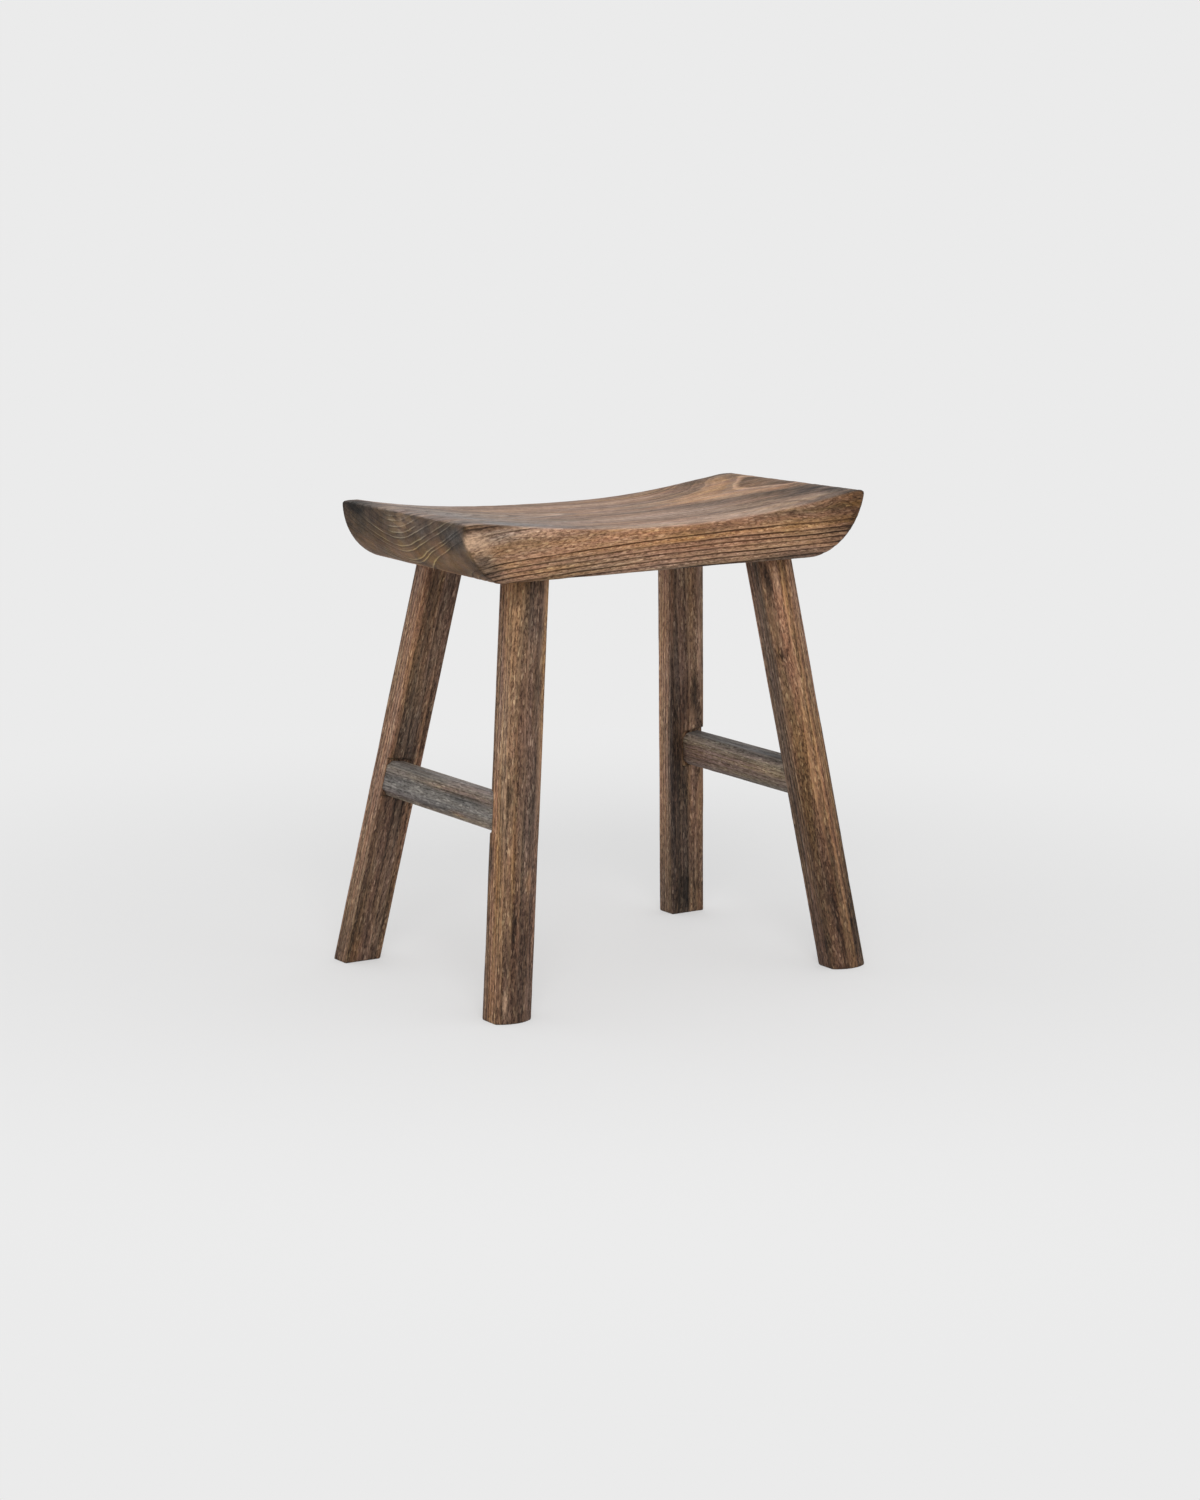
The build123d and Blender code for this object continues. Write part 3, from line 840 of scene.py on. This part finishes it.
    # How light it is: the same, and slivers, broad streaks, and painted shade darkening the sharp edges in
    # patches
    value = add(tree, "ShaderNodeMath", (patch_tone, 0.8, 0.6), operation="MULTIPLY_ADD")
    band = add(tree, "ShaderNodeMath", (streak_tone, -0.5), operation="ADD")
    rubbed_down = add(tree, "ShaderNodeMath", (upward, -0.1, 1.0), operation="MULTIPLY_ADD")
    band = add(tree, "ShaderNodeMath", (band, rubbed_down), operation="MULTIPLY")
    board = add(tree, "ShaderNodeMath", (noises["broad streaks"], -0.5), operation="ADD")
    board = add(tree, "ShaderNodeMath", (board, upward), operation="MULTIPLY")
    changes = (band, look.banding), (sliver_tone, look.slivers), (lighter, 1.0), (arch_tone, 1.0)
    for change, strength in (*changes, (board, 1.7)):
        value = add(tree, "ShaderNodeMath", (change, strength, value), operation="MULTIPLY_ADD")
    # Painted shade: the sharp edges darker in patches
    gathered = add(tree, "ShaderNodeMapRange", (patch_wear, 0.58, 0.42, 0.0, look.painted_edge_shade))
    gathered = add(tree, "ShaderNodeMath", (gathered, edge), operation="MULTIPLY")
    value = add(tree, "ShaderNodeMath", (value, gathered), operation="SUBTRACT")
    value = add(tree, "ShaderNodeMath", (value, 0.12), operation="MAXIMUM")
    colour = add(tree, "ShaderNodeVectorMath", {0: colour, "Scale": value}, operation="SCALE")

    # Bare wood shows on the edges in places, and where marks are rubbed through
    worn = add(tree, "ShaderNodeMapRange", (patch_wear, 0.5, 0.7, 0.0, 0.5))
    worn = add(tree, "ShaderNodeMath", (worn, edge, rubbed), operation="MULTIPLY_ADD")
    broken = add(tree, "ShaderNodeMath", (hard, 0.8, 0.4), operation="MULTIPLY_ADD")
    worn = add(tree, "ShaderNodeMath", (worn, broken), operation="MULTIPLY", use_clamp=True)
    colour = add(tree, "ShaderNodeMix", {0: worn, 6: colour, 7: (*look.bare, 1)}, 2, data_type="RGBA")

    relief = add(tree, "ShaderNodeMath", (hard, 0.5), operation="MULTIPLY")
    for change, strength in ((sliver_tone, 0.5), (pore, -1.0), (row, -0.4)):
        relief = add(tree, "ShaderNodeMath", (change, strength, relief), operation="MULTIPLY_ADD")
    bump = add(tree, "ShaderNodeBump", {"Strength": 0.8, "Distance": 0.4 * MM, "Height": relief})
    roughness = add(tree, "ShaderNodeMapRange", (hard, 0.0, 1.0, 0.66, 0.5))
    finish = {
        "Base Color": colour,
        "Roughness": roughness,
        "IOR": 1.5,
        "Specular IOR Level": 0.15,
        "Normal": bump,
    }
    shader = add(tree, "ShaderNodeBsdfPrincipled", finish)
    add(tree, "ShaderNodeOutputMaterial", {"Surface": shader})
    return material


def seen_rays(tree):
    """Is 1 for rays by which the camera sees the backdrop: straight, mirrored or through a clear thing."""
    path = add(tree, "ShaderNodeLightPath").node.outputs
    seen = add(tree, "ShaderNodeMath", (path["Is Camera Ray"], path["Is Glossy Ray"]), operation="MAXIMUM")
    return add(tree, "ShaderNodeMath", (seen, path["Is Transmission Ray"]), operation="MAXIMUM")


def placed(axes, start):
    """Matrix with these three axes and this origin."""
    matrix = Matrix.Identity(4)
    for column, axis in enumerate((*axes, start)):
        for row in range(3):
            matrix[row][column] = axis[row]
    return matrix


def log_frame(node):
    """Matrix from a piece's own log, whose first axis runs along the grain, to the stool's frame."""
    if node == "seat":
        return placed(((1, 0, SEAT_GRAIN_CLIMB), (0, 1, 0), (0, 0, 1)), (0, 0, 0))
    kind, *place = node.split("_")
    end = ENDS[place[-1]]
    if kind == "leg":
        side = SIDES[place[0]]
        foot = node.replace("leg", "foot")
        start = next(mount["pos_m"] for mount in frame["record"]["mounts"] if mount["name"] == foot)
        axes = (-end * tan(SPLAY_ALONG), -side * tan(SPLAY_ACROSS), 1), (1, 0, 0), (0, 1, 0)
    else:
        low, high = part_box(node)
        start = (low + high) / 2
        axes = (
            (0, -end, 0),
            (end * cos(SPLAY_ALONG), 0, sin(SPLAY_ALONG)),
            (-end * sin(SPLAY_ALONG), 0, cos(SPLAY_ALONG)),
        )
    return placed(axes, start)


def applied(mesh, name, add_modifiers):
    """Mesh of an object after its modifiers, which add_modifiers puts on it."""
    thing = bpy.data.objects.new(name, mesh)
    bpy.context.scene.collection.objects.link(thing)
    add_modifiers(thing)
    graph = bpy.context.evaluated_depsgraph_get()
    result = bpy.data.meshes.new_from_object(
        thing.evaluated_get(graph), preserve_all_data_layers=True, depsgraph=graph
    )
    bpy.data.objects.remove(thing)
    return result


def nearness(points, middle, reach, firmness=1.0):
    """Share from 0 to 1, one for each point, that falls off around the middle, faster when it is firmer."""
    return np.exp(-((((points - middle) / reach) ** 2).sum(1) ** firmness))[:, None]


def work_timber(node, look, material, tree):
    """Turns one of the frame's nodes into a finely meshed, hand-worked piece that stands for it."""
    # The mesh is squeezed along the grain while it is remeshed, so that its cells come out long
    log = log_frame(node)
    squeeze = Matrix.Diagonal((1 / look.cell_stretch, 1, 1, 1))
    mesh = frame["nodes"][node].data.copy()
    shape = bmesh.new()
    shape.from_mesh(mesh)
    bmesh.ops.remove_doubles(shape, verts=shape.verts, dist=WELD)
    shape.to_mesh(mesh)
    shape.free()
    mesh.transform(squeeze @ log.inverted())

    def remesh(thing):
        modifier = thing.modifiers.new("fine cells", "REMESH")
        modifier.mode = "VOXEL"
        modifier.voxel_size = look.cell

    mesh = applied(mesh, node + "_cells", remesh)
    mesh.transform(squeeze.inverted())
    places = np.empty(len(mesh.vertices) * 3)
    mesh.vertices.foreach_get("co", places)
    places = places.reshape(-1, 3) / MM
    mesh.transform(log)

    grain = places + np.array(LOG_PLACES[node])
    marks = np.zeros_like(places)
    for middle, reach, lighter, *more in MARKS_AND_PAINTED_SHADE[node]:
        warmer, rubbed = (*more, 0, 0)[:2]
        marks += nearness(places, middle, reach, MARK_FIRMNESS) * np.array((rubbed, lighter, warmer))
    for middle, reach, push in SWIRLS.get(node, ()):
        grain += nearness(places, middle, reach) * np.array(push)
    for name, values in (("grain", grain), ("marks", marks)):
        attribute = mesh.attributes.new(name, "FLOAT_VECTOR", "POINT")
        attribute.data.foreach_set("vector", values.astype(np.float32).ravel())

    direction = (log.to_3x3() @ Vector((1, 0, 0))).normalized()
    given = {
        "Waviness": look.waviness,
        "Groove depth": look.groove_depth,
        "Fibre depth": look.fibre_depth,
        "Edge wear": look.edge_wear,
        "Ring bow": look.ring_bow,
        "Ring slope": look.ring_slope,
        "Grain direction": direction,
        "Material": material,
    }

    def carve(thing):
        modifier = thing.modifiers.new("worked surface", "NODES")
        modifier.node_group = tree
        for item in tree.interface.items_tree:
            if item.in_out == "INPUT" and item.name in given:
                modifier[item.identifier] = given[item.name]

    mesh = applied(mesh, node + "_carving", carve)
    piece = bpy.data.objects.new("worked_" + node, mesh)
    bpy.context.scene.collection.objects.link(piece)
    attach(piece, "root")
    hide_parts(node)


class STOOL_OT_seat(bpy.types.Operator):
    """Make the dished seat block"""

    bl_idname = "stool.seat"
    bl_label = "Seat block"

    def execute(self, context):
        look = context.scene.stool_seat
        wood = stained_timber("brushed and stained elm, seat", look, SEAT_YEARS, SEAT_TONES)
        tree = worked_surface_tree("worked seat", SEAT_YEARS)
        work_timber("seat", look, wood, tree)
        return {"FINISHED"}


class STOOL_OT_legs(bpy.types.Operator):
    """Make the four splayed legs"""

    bl_idname = "stool.legs"
    bl_label = "Legs"

    def execute(self, context):
        look = context.scene.stool_legs
        wood = stained_timber("brushed and stained elm, legs", look, RAIL_YEARS, RAIL_TONES)
        tree = worked_surface_tree("worked legs", RAIL_YEARS)
        for side in SIDES:
            for end in ENDS:
                work_timber(f"leg_{side}_{end}", look, wood, tree)
        return {"FINISHED"}


class STOOL_OT_stretchers(bpy.types.Operator):
    """Make the two stretchers"""

    bl_idname = "stool.stretchers"
    bl_label = "Stretchers"

    def execute(self, context):
        look = context.scene.stool_stretchers
        wood = stained_timber("brushed and stained elm, stretchers", look, RAIL_YEARS, RAIL_TONES)
        tree = worked_surface_tree("worked stretchers", RAIL_YEARS)
        for end in ENDS:
            work_timber(f"stretcher_{end}", look, wood, tree)
        return {"FINISHED"}


def lay_floor(scene, look):
    """Matte painted floor that fades into the backdrop beyond the stool's shadow."""
    paint = bpy.data.materials.new("matte pale floor paint")
    paint.use_nodes = True
    tree = paint.node_tree
    tree.nodes.clear()
    place = add(tree, "ShaderNodeTexCoord", output="Object")
    reach = add(tree, "ShaderNodeVectorMath", (place,), "Value", operation="LENGTH")
    far = (reach, *FLOOR_FADE, FLOOR_FADE_START, 1.0)
    far = add(tree, "ShaderNodeMapRange", far, interpolation_type="SMOOTHSTEP")
    far = add(tree, "ShaderNodeMath", (far, seen_rays(tree)), operation="MULTIPLY")
    matte = add(tree, "ShaderNodeBsdfDiffuse", {"Color": (*look.backdrop, 1)})
    flat = add(tree, "ShaderNodeEmission", {"Color": (*look.backdrop, 1), "Strength": 1.0})
    mixed = add(tree, "ShaderNodeMixShader", (far, matte, flat))
    add(tree, "ShaderNodeOutputMaterial", {"Surface": mixed})
    shape = bmesh.new()
    bmesh.ops.create_circle(shape, cap_ends=True, segments=FLOOR_SIDES, radius=FLOOR_RADIUS)
    mesh = bpy.data.meshes.new("floor")
    shape.to_mesh(mesh)
    shape.free()
    mesh.materials.append(paint)
    floor = bpy.data.objects.new("floor", mesh)
    scene.collection.objects.link(floor)


def light_studio(scene, look):
    """Soft light all round and a round lamp at the front left."""
    world = bpy.data.worlds.new("studio")
    scene.world = world
    world.use_nodes = True
    tree = world.node_tree
    tree.nodes.clear()
    around = add(tree, "ShaderNodeBackground", {"Color": (1, 1, 1, 1), "Strength": look.ambient})
    behind = add(tree, "ShaderNodeBackground", {"Color": (*look.backdrop, 1), "Strength": 1.0})
    mixed = add(tree, "ShaderNodeMixShader", (seen_rays(tree), around, behind))
    add(tree, "ShaderNodeOutputWorld", {"Surface": mixed})

    key = bpy.data.lights.new("key", "AREA")
    key.shape = "DISK"
    key.size = LAMP_SIZE
    key.energy = look.key_power
    lamp = bpy.data.objects.new("key", key)
    lamp.location = LAMP_PLACE
    aim = Vector(LAMP_AIM) - lamp.location
    lamp.rotation_euler = aim.to_track_quat("-Z", "Y").to_euler()
    scene.collection.objects.link(lamp)


def stand_camera(scene, look):
    """Camera at the photo's viewing angle."""
    heading = CAMERA_TURN + CAMERA_YAW
    level = cos(CAMERA_PITCH)
    forward = Vector((sin(heading) * level, cos(heading) * level, -sin(CAMERA_PITCH)))
    right = Vector((cos(heading), -sin(heading), 0))
    up = right.cross(forward)
    rolled_right = cos(CAMERA_ROLL) * right + sin(CAMERA_ROLL) * up
    rolled_up = cos(CAMERA_ROLL) * up - sin(CAMERA_ROLL) * right
    stand = (-sin(CAMERA_TURN) * CAMERA_DISTANCE, -cos(CAMERA_TURN) * CAMERA_DISTANCE, CAMERA_HEIGHT)
    lens = bpy.data.cameras.new("camera")
    lens.lens = look.lens / MM
    lens.clip_end = CAMERA_SIGHT
    camera = bpy.data.objects.new("camera", lens)
    camera.matrix_world = placed((rolled_right, rolled_up, -forward), stand)
    scene.collection.objects.link(camera)
    scene.camera = camera


class STOOL_OT_stage(bpy.types.Operator):
    """Make the floor, the light and the camera"""

    bl_idname = "stool.stage"
    bl_label = "Stage"

    def execute(self, context):
        scene = context.scene
        scene.view_settings.view_transform = "Standard"
        lay_floor(scene, scene.stool_stage)
        light_studio(scene, scene.stool_stage)
        stand_camera(scene, scene.stool_stage)
        return {"FINISHED"}


class STOOL_PT_panel(bpy.types.Panel):
    """Lists the pieces of the stool"""

    bl_idname = "STOOL_PT_panel"
    bl_label = "Saddle stool"
    bl_space_type = "VIEW_3D"
    bl_region_type = "UI"
    bl_category = "Stool"

    def draw(self, context):
        for operator in OPERATORS:
            self.layout.operator(operator.bl_idname)


SETTINGS = {
    "stool_seat": SeatSettings,
    "stool_legs": LegSettings,
    "stool_stretchers": StretcherSettings,
    "stool_stage": StageSettings,
}
OPERATORS = (STOOL_OT_seat, STOOL_OT_legs, STOOL_OT_stretchers, STOOL_OT_stage)


def register():
    for kind in (*SETTINGS.values(), *OPERATORS, STOOL_PT_panel):
        bpy.utils.register_class(kind)
    for name, kind in SETTINGS.items():
        setattr(bpy.types.Scene, name, bpy.props.PointerProperty(type=kind))


def unregister():
    for name in SETTINGS:
        delattr(bpy.types.Scene, name)
    for kind in (STOOL_PT_panel, *reversed(OPERATORS), *reversed(list(SETTINGS.values()))):
        bpy.utils.unregister_class(kind)


def main():
    register()
    bpy.ops.stool.seat()
    bpy.ops.stool.legs()
    bpy.ops.stool.stretchers()
    bpy.ops.stool.stage()


if __name__ == "__main__":
    main()
